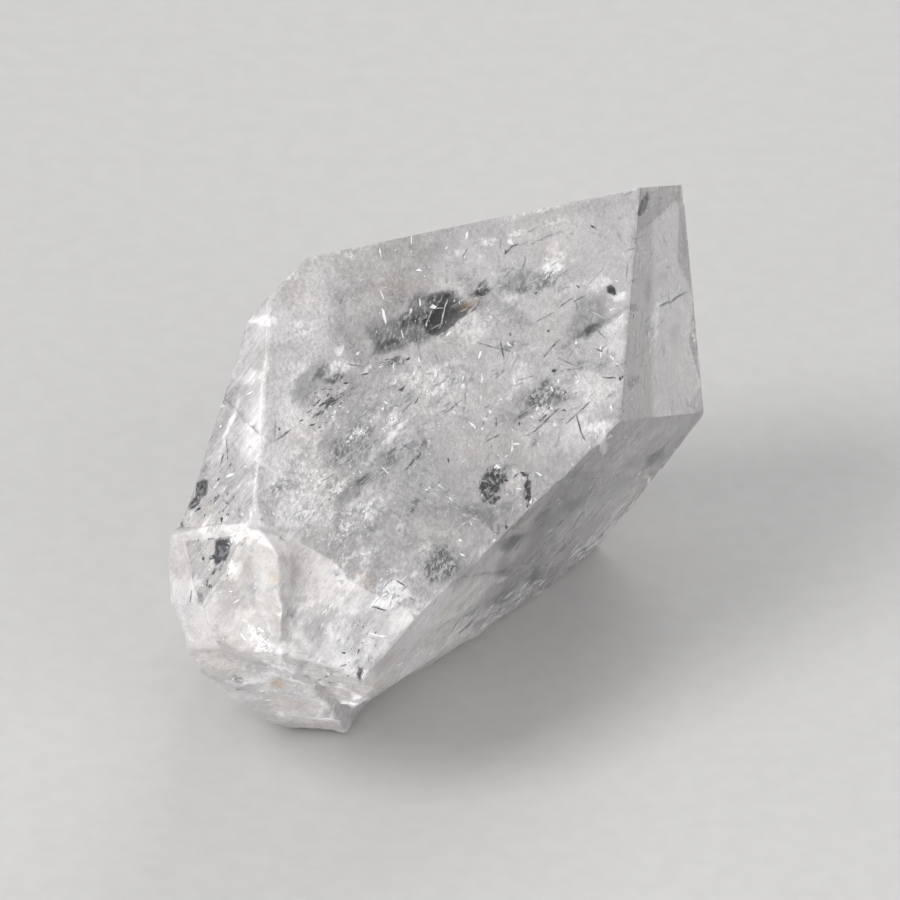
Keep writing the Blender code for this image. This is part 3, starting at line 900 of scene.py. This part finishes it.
def add_group(bm, face, across, up, depth, reach, width, turn, count, size, slimness, scatter):
    """Shards round a place behind a face that spread over an oval, turned in the view."""
    sight = bent_sight(DIRECTIONS[face])
    side = ACROSS.cross(sight).normalized()
    flat = side.cross(sight)
    swing = Matrix.Rotation(radians(turn), 3, -sight)
    long_way, short_way = swing @ flat.normalized(), swing @ side
    turn_x, turn_y = moved(0.0, 0.0, 1.0, 0.0, turn)
    if long_way.dot(ACROSS * turn_x + UP * turn_y) < 0:
        long_way = -long_way
    for _ in range(count):
        x, y = off_middle(dice, reach, width)
        if (x / reach) ** 2 + (y / width) ** 2 > 1.0:
            continue
        middle = inside_at(face, *moved(across, up, x, y, turn), depth + dice.gauss(0.0, scatter))
        if not well_inside(middle, INSIDE_MARGIN):
            continue
        tilt = Matrix.Rotation(dice.gauss(0.0, TILT), 3, long_way)
        lean = Matrix.Rotation(dice.gauss(0.0, LEAN), 3, sight)
        add_shard(bm, middle, lean @ long_way, lean @ tilt @ short_way,
                  size * dice.uniform(0.4, 1.2), slimness * dice.uniform(0.6, 1.3))


def finish_piece(bm, name, material):
    """Turn a bmesh into a piece that rides with the crystal."""
    mesh = bpy.data.meshes.new(name)
    bm.to_mesh(mesh)
    bm.free()
    mesh.materials.append(material)
    piece = add_object(name, mesh)
    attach(piece, "root")
    print(name + ":", len(mesh.polygons), "polygons")


# %% Shard finishes
def shard_material(name, first, second, roughness):
    """A finish that varies between two colours from shard to shard."""
    material, place = new_material(name)
    tone = place.noise(0.8, 2.0).ramp(0.35, 0.65).blend(first, second)
    shader = place.node("ShaderNodeBsdfPrincipled", {}, {
        "Base Color": tone, "Roughness": roughness})
    return finish_material(material, shader)


# White shards are painted glints, highlights where a flaw mirrors a lamp.
glint_shards = shard_material("painted_glint", (0.95, 0.95, 0.95, 1), (0.80, 0.80, 0.82, 1), 0.4)
# Dark shards are painted shade inside, and the colour of the dark flakes on the surface.
dark_shards = shard_material("dark_flaw_and_shade", (0.05, 0.05, 0.055, 1), (0.17, 0.17, 0.18, 1), 0.25)

# %% Place the groups
# For each face: across, up, depth, reach, width, turn, count and size.
# Dark shards, painted shade; the first group lies behind the large window.
DARK_GROUPS = {
    "broad": [(-1.5, 16.6, 2, 4, 2, 25, 60, 0.6), (5.2, -4.1, 1.5, 2, 1.5, 60, 30, 0.4),
              (-15.4, 6.2, 1.5, 3, 1.6, 50, 30, 0.35), (-1.6, -14, 2, 2.2, 1.5, 60, 30, 0.4)],
}
# Painted glints: white shards where the crystal glints.
GLINT_GROUPS = {
    "broad": [(-11.5, 2.2, 0.6, 1.8, 0.9, 35, 40, 0.22), (-7.2, 3.5, 0.6, 1.6, 0.9, 40, 30, 0.2),
              (12.9, 22.8, 0.8, 1.4, 0.9, 40, 40, 0.25), (-14.3, 5, 0.8, 2.4, 1.2, 40, 30, 0.2),
              (-1.2, 8.1, 0.8, 2, 1, 30, 30, 0.2), (-7.4, -17.8, 0.7, 2.2, 1.4, 45, 30, 0.45),
              (-2.1, -21, 0.8, 1.2, 0.8, 45, 25, 0.25), (-6, 2, 2.5, 14, 8, 45, 160, 0.1)],
    "bevel": [(5.5, 26.2, 0.5, 5, 0.7, 17, 90, 0.14)],
    "narrow": [(25.6, 15.4, 0.5, 2, 0.5, 82, 40, 0.35)],
}
for name, material, groups, slimness, scatter in (
        ("dark_flaws_and_shade", dark_shards, DARK_GROUPS, 0.45, 0.35),
        ("painted_glint_flaws", glint_shards, GLINT_GROUPS, 0.3, 0.3)):
    bm = bmesh.new()
    for face, rows in groups.items():
        for row in rows:
            add_group(bm, face, *row, slimness, scatter)
    finish_piece(bm, name, material)

# %% [markdown]
# ## Fine cracks and glints
# The thinnest lines are cracks that reach the surface, and the brightest specks are glints, where a
# chip mirrors a lamp. As grooves or as numbers on the mesh they would need a far finer one. So they
# are narrow ribbons and small flat flakes, laid just above the surface, whose corners are found by
# lines of sight. The glints are painted highlights: white flakes and a few white ribbons.

# %% Lines of sight
LIFT = 0.015 * MM
FAR_OUT = 0.2  # how far away the lines start, in metres
GRAZING = 0.12  # steeper faces than this get no ribbons or flakes


def sight_frame(azimuth, elevation):
    """Across, up and deep directions of a view from this side."""
    deep = -facing(azimuth, elevation)
    sideways = deep.cross(Vector((0.0, 0.0, 1.0))).normalized()
    return sideways, sideways.cross(deep), deep


FRONT = sight_frame(-90.0, 30.0)
OTHER_SIDES = [sight_frame(azimuth, rise)
               for azimuth, rise in ((0, 12), (90, 12), (180, 12), (90, 80))]


def on_surface(frame, across, up):
    """Corner just above the surface where a line of sight meets it, or None."""
    sideways, rising, deep = frame
    start = HEART + (sideways * across + rising * up) * MM - deep * FAR_OUT
    place, direction, _, _ = shell_tree.ray_cast(start, deep)
    if place is None or direction.dot(deep) > -GRAZING:
        return None
    return place + direction * LIFT


print("lines of sight:", 1 + len(OTHER_SIDES), "sides")

# %% Lay a ribbon or a flake
RIBBON_STEP = 0.3  # mm
LONGEST_STEP = 4.0  # a ribbon stops where its next step is this many times as long
LONGEST_FLAKE = 3.0  # and a flake is left out if a corner falls this many times its reach away
JAG = 0.05
BEND = 0.05
TIP = 0.25  # width of a ribbon's ends, as a share of its width
WIDEST_RIBBON = 0.075


def add_ribbon(bm, frame, across, up, reach, turn, width):
    """Jagged crack that tapers to both ends. Lengths are in mm."""
    steps = max(3, round(2.0 * reach / RIBBON_STEP))
    bend, aside, last = dice.uniform(-BEND, BEND) * reach, 0.0, None
    for step in range(steps + 1):
        way = 2.0 * step / steps - 1.0
        aside += dice.uniform(-JAG, JAG)
        half = width * (TIP + (1.0 - TIP) * sqrt(1.0 - way * way)) * dice.uniform(0.6, 1.25)
        x, y = way * reach, aside + bend * way * way
        pair = [on_surface(frame, *moved(across, up, x, y + side, turn)) for side in (-half, half)]
        if None in pair:
            last = None
            continue
        pair = [bm.verts.new(corner) for corner in pair]
        if last and (last[0].co - pair[0].co).length < LONGEST_STEP * RIBBON_STEP * MM:
            bm.faces.new((last[0], pair[0], pair[1], last[1]))
        last = pair


def add_flake(bm, frame, across, up, reach, width, turn):
    """Flat flake with three to five corners, laid as a fan so that it follows the surface."""
    count = dice.choice((3, 4, 4, 5))
    start = dice.uniform(0.0, 2.0 * pi)
    angles = [start + 2.0 * pi * (number + dice.uniform(-0.3, 0.3)) / count
              for number in range(count)]
    tips = [(reach * cos(angle), width * sin(angle)) for angle in angles]
    rim = []
    for (x, y), (next_x, next_y) in zip(tips, tips[1:] + tips[:1]):
        rim += [(x, y), ((x + next_x) / 2, (y + next_y) / 2)]
    places = [on_surface(frame, *moved(across, up, x, y, turn)) for x, y in [(0.0, 0.0), *rim]]
    if None in places:
        return
    if max((place - places[0]).length for place in places) > LONGEST_FLAKE * reach * MM:
        return
    corners = [bm.verts.new(place) for place in places]
    for number in range(len(rim)):
        bm.faces.new((corners[0], corners[1 + number], corners[1 + (number + 1) % len(rim)]))


def strew(bm, frame, row, ribbons):
    """Random ribbons or flakes over an oval part of a view, denser at its middle."""
    across, up, reach, width, turn, count, way, stray, shortest, longest, slimness = row
    for _ in range(count):
        x, y = off_middle(dice, reach, width)
        length = shortest * (longest / shortest) ** dice.random()
        spot = moved(across, up, x, y, turn)
        angle = dice.gauss(way, stray)
        if ribbons:
            add_ribbon(bm, frame, *spot, length, angle, min(WIDEST_RIBBON, length * slimness))
        else:
            add_flake(bm, frame, *spot, length, length * slimness * dice.uniform(0.6, 1.4), angle)


# %% Lay a whole piece
WHOLE_SIDE = (0, 0, 26, 18, 0)  # across, up, reach, width and turn of a whole side


def lay_piece(name, material, add, rows, parts, elsewhere, ribbons):
    """A piece of placed rows, strewn parts of the front, and the same on the other sides."""
    bm = bmesh.new()
    for row in rows:
        add(bm, FRONT, *row)
    for part in parts:
        strew(bm, FRONT, part, ribbons)
    for side in OTHER_SIDES:
        strew(bm, side, (*WHOLE_SIDE, *elsewhere), ribbons)
    finish_piece(bm, name, material)


# %% Dark cracks and flakes
# Across, up, half length, turn, and half width in hundredths.
DARK_CRACKS = hundredths(4, (
    (18, 27.9, 0.6, -30, 9), (22.7, 25.2, 0.6, 20, 8), (11.9, 16.6, 1.3, 28, 7),
    (14.4, 18.4, 1.1, 36, 7), (16.2, 18.9, 0.9, 22, 7), (12.7, 12.8, 1.6, 50, 9),
    (11.9, 3.6, 2.4, 44, 11), (-13.4, 9, 0.6, 60, 13), (-16.6, 4.3, 0.7, 30, 13),
    (-20.6, 1.9, 1.1, 38, 12), (-11.7, 10.6, 1.2, -8, 8), (-8.8, -19.7, 1, -15, 12),
    (-6.1, -16.5, 0.9, -35, 8), (-4.6, -18.6, 0.6, -30, 8), (-6, -24.9, 0.5, 0, 10),
    (-13.3, -26.7, 0.5, 20, 13), (-15.7, -28.3, 1.3, 32, 8), (-15.5, -28.7, 0.9, -25, 7),
    (-29, -6, 0.85, 60, 12), (-28.3, -1.3, 0.9, 75, 10), (-27.7, 0, 1.4, 96, 9),
    (-29, -14.8, 1, 40, 10), (-32.2, -18.1, 0.8, 82, 12), (-30, -16.5, 0.6, 80, 13),
    (-26.2, -29.9, 0.6, 0, 13), (26.9, 18.3, 0.9, 22, 13), (28.7, 19.3, 1.5, 32, 13),
))
# Across, up, half length, half width and turn.
DARK_FLAKES = (
    (-31, -5, 1.2, 0.6, 60), (-30.8, -4.4, 0.7, 0.4, 70), (-31.9, -6.4, 0.7, 0.2, 35),
    (-31.6, -6.9, 0.8, 0.2, 30), (-31.3, -7.4, 0.5, 0.2, 25), (-28.2, -12.4, 1.5, 0.7, 62),
    (-28.6, -13.4, 1, 0.5, 50), (-29.4, -13.3, 0.6, 0.3, 30), (-28.5, -14.8, 0.3, 0.15, 60),
    (-29.3, -15.2, 0.35, 0.15, 60), (-33.6, -9.4, 0.5, 0.35, 30), (-30.9, -18.3, 0.5, 0.25, 80),
    (20.3, 20, 0.8, 0.4, -45), (24.4, 31, 1.2, 0.35, 66), (24, 29.8, 0.6, 0.2, 75),
    (26.9, 18.3, 0.8, 0.25, 18), (-11.2, -27.6, 0.6, 0.25, 65), (18, 27.9, 0.5, 0.2, -30),
)
# Middle (across, up), reach, width and turn of a part; how many; their turn and how far it strays;
# and in hundredths their shortest and longest half length, and width over length.
DARK_PARTS = hundredths(8, (
    (-15, 6.4, 3.4, 1.8, 45, 34, 35, 18, 15, 70, 30),
    (5.2, -4.2, 2.2, 1.3, 58, 24, 40, 30, 10, 35, 60),
    (9.7, -4.7, 2.2, 0.4, 93, 16, 20, 20, 10, 30, 50),
    (-1.5, -14, 2.4, 1.5, 60, 16, 60, 10, 15, 50, 30),
    (-28.8, -10, 3, 9, -12, 40, 65, 20, 10, 40, 40),
    (-10.5, -23.5, 4, 3, 50, 22, 40, 30, 12, 40, 35), (12, 5, 2.6, 1.8, 40, 18, 40, 15, 12, 50, 30),
    (-7, 11, 2.2, 0.5, 8, 14, 20, 20, 15, 50, 30),
))
crack_shards = shard_material("dark_crack", (0.10, 0.10, 0.11, 1), (0.30, 0.30, 0.31, 1), 0.3)
lay_piece("dark_cracks", crack_shards, add_ribbon, DARK_CRACKS, (), (22, 50, 30, 0.4, 2.0, 0.06), True)
lay_piece("dark_flakes", dark_shards, add_flake, DARK_FLAKES, DARK_PARTS, (26, 50, 30, 0.15, 0.7, 0.4),
          False)

# %% Grey cracks
GREY_CRACKS = hundredths(4, (
    (-2.5, 16.7, 1.3, 62, 6), (1.3, 18.6, 1.4, 35, 6), (7.2, 22, 1.6, 38, 13),
    (9.4, 22.6, 1.1, 8, 10), (12.3, 26.7, 2.8, 22, 13), (19.2, 29.6, 0.9, 25, 10),
    (22.2, 32.1, 0.8, 30, 13), (15.1, 27, 0.4, 0, 10), (-3, 22, 3.2, 17, 5),
    (1.2, 23.6, 2.2, 18, 5), (-11.7, 23.7, 0.7, 10, 10), (-14.2, 18.7, 0.8, 80, 10),
    (22.2, 22.4, 0.9, 80, 8), (18.2, 21.6, 1.7, 45, 7), (14.3, 20.2, 0.9, 26, 7),
    (9, 15.6, 1.6, 20, 6), (7, 10.4, 1, 55, 13), (16, 10.4, 3.6, 14, 7), (-15.3, 12.6, 1.7, -58, 7),
    (-5.8, 5.9, 1, 50, 8), (-8.3, -7.6, 0.9, 20, 13), (-2, -4.5, 5.5, -34, 5),
    (-5.5, -6.2, 3.5, -34, 5), (-19.8, -20.3, 0.7, -55, 10), (-18.9, -18, 3.4, 62, 5),
    (-23.6, -8.6, 1.6, -22, 13), (17.2, -5.1, 1.2, 56, 13), (13.1, -9.7, 1.3, 36, 13),
    (14.7, -12, 1.4, 50, 13), (19, -7.5, 3, 52, 5), (16.5, -9.8, 3.2, 52, 5),
    (24.9, 16.4, 0.5, 60, 13), (24.4, 12.6, 1.1, 50, 7), (23, 11.4, 0.8, 30, 7),
    (27.5, 23, 0.3, 0, 8), (27.2, 26.2, 0.25, 0, 8),
))
GREY_PARTS = hundredths(8, (
    (-9, 2, 12, 7, 45, 240, 42, 12, 20, 130, 10), (-9, -12, 9, 5.5, -30, 150, 48, 16, 20, 120, 10),
    (-4, -5, 6, 4, -34, 30, -34, 4, 50, 220, 5), (-3, -4, 6, 4, -34, 20, 52, 4, 40, 160, 5),
    (-18, -23, 10, 7.5, 0, 90, 50, 50, 12, 60, 10), (-28, -9, 4.5, 11, -15, 40, 65, 25, 15, 80, 10),
    (8, 20, 14, 5, 18, 60, 24, 12, 20, 160, 8), (15, -8, 12, 3, 50, 40, 51, 4, 40, 260, 3),
    (13, 8, 8, 6, 30, 60, 32, 14, 20, 140, 8), (26.5, 15, 14, 3, 95, 24, 80, 30, 20, 160, 6),
    (3, -21, 9, 2.2, 36, 50, 40, 10, 30, 160, 5),
))
grey_shards = shard_material("grey_flaw", (0.30, 0.30, 0.315, 1), (0.56, 0.56, 0.57, 1), 0.35)
lay_piece("grey_cracks", grey_shards, add_ribbon, GREY_CRACKS, GREY_PARTS,
          (130, 50, 30, 0.2, 1.8, 0.08), True)

# %% Glints, painted as white flakes
GLINT_LINES = hundredths(4, (
    (8.6, -4.8, 0.4, 0, 10), (-15.2, -19.6, 1.1, 45, 10), (-9, -23, 1.2, -10, 13),
    (-26.5, -18.7, 0.45, 30, 9), (-27.2, -17.5, 0.25, 0, 8), (-22.8, -31.2, 0.4, 0, 13),
    (-11.2, -31.2, 1.2, 10, 13), (28.2, 19.6, 1, 50, 10),
))
GLINT_PARTS = hundredths(8, (
    (-11.5, 2.2, 1.5, 0.7, 35, 26, 45, 30, 8, 35, 35),
    (-7.2, 3.6, 1.6, 0.8, 40, 22, 45, 30, 8, 30, 35),
    (12.9, 22.8, 1.2, 0.8, 40, 30, 45, 40, 10, 40, 40),
    (4.8, 25.9, 1.3, 0.4, 16, 22, 20, 40, 6, 20, 50),
    (8.2, 27.1, 1.6, 0.3, 16, 18, 20, 40, 6, 20, 50),
    (-14.5, 4.8, 1.6, 0.8, 30, 14, 40, 30, 8, 25, 40), (-1.2, 8.1, 2, 1, 30, 26, 40, 30, 8, 25, 40),
    (-7.4, -17.8, 2.2, 1.4, 40, 30, 48, 8, 20, 90, 20),
    (-2.1, -21, 1.1, 0.8, 40, 20, 48, 12, 10, 60, 20),
    (-23.4, -24, 2.2, 1, -42, 34, -42, 16, 15, 100, 22),
    (-22.4, -26.2, 2.2, 0.7, -22, 22, -25, 14, 15, 90, 25),
    (-24.3, -28.5, 2.8, 0.6, 8, 30, 5, 25, 12, 70, 30),
    (-26.6, -14.6, 0.8, 1.2, 0, 20, 40, 40, 12, 50, 50),
    (-26.4, -10.8, 1.2, 0.6, 20, 20, 60, 30, 10, 50, 30),
    (25.6, 15.4, 2.2, 0.5, 82, 26, 84, 8, 20, 90, 15),
    (19, 2, 1.6, 1.2, 60, 18, 60, 40, 10, 50, 30), (-18, -6, 6, 4, 40, 80, 45, 40, 6, 30, 35),
    (-12, -9, 5, 2.5, 30, 40, 45, 20, 8, 40, 25), (18.6, -11.2, 7, 1, 47, 80, 50, 6, 30, 160, 8),
    (8, -18.5, 6, 1, 37, 50, 42, 8, 20, 120, 10), (-4, -25.5, 6, 1.4, 34, 50, 40, 20, 15, 80, 20),
    (-17, -29.5, 9, 3, 0, 80, 20, 60, 6, 35, 40), (-28, -16, 4, 8, 0, 50, 50, 50, 6, 30, 35),
    (0, 5, 14, 8, 35, 90, 40, 30, 5, 18, 35),
))
lay_piece("glints", glint_shards, add_ribbon, GLINT_LINES, GLINT_PARTS,
          (160, 50, 40, 0.08, 0.6, 0.3), False)
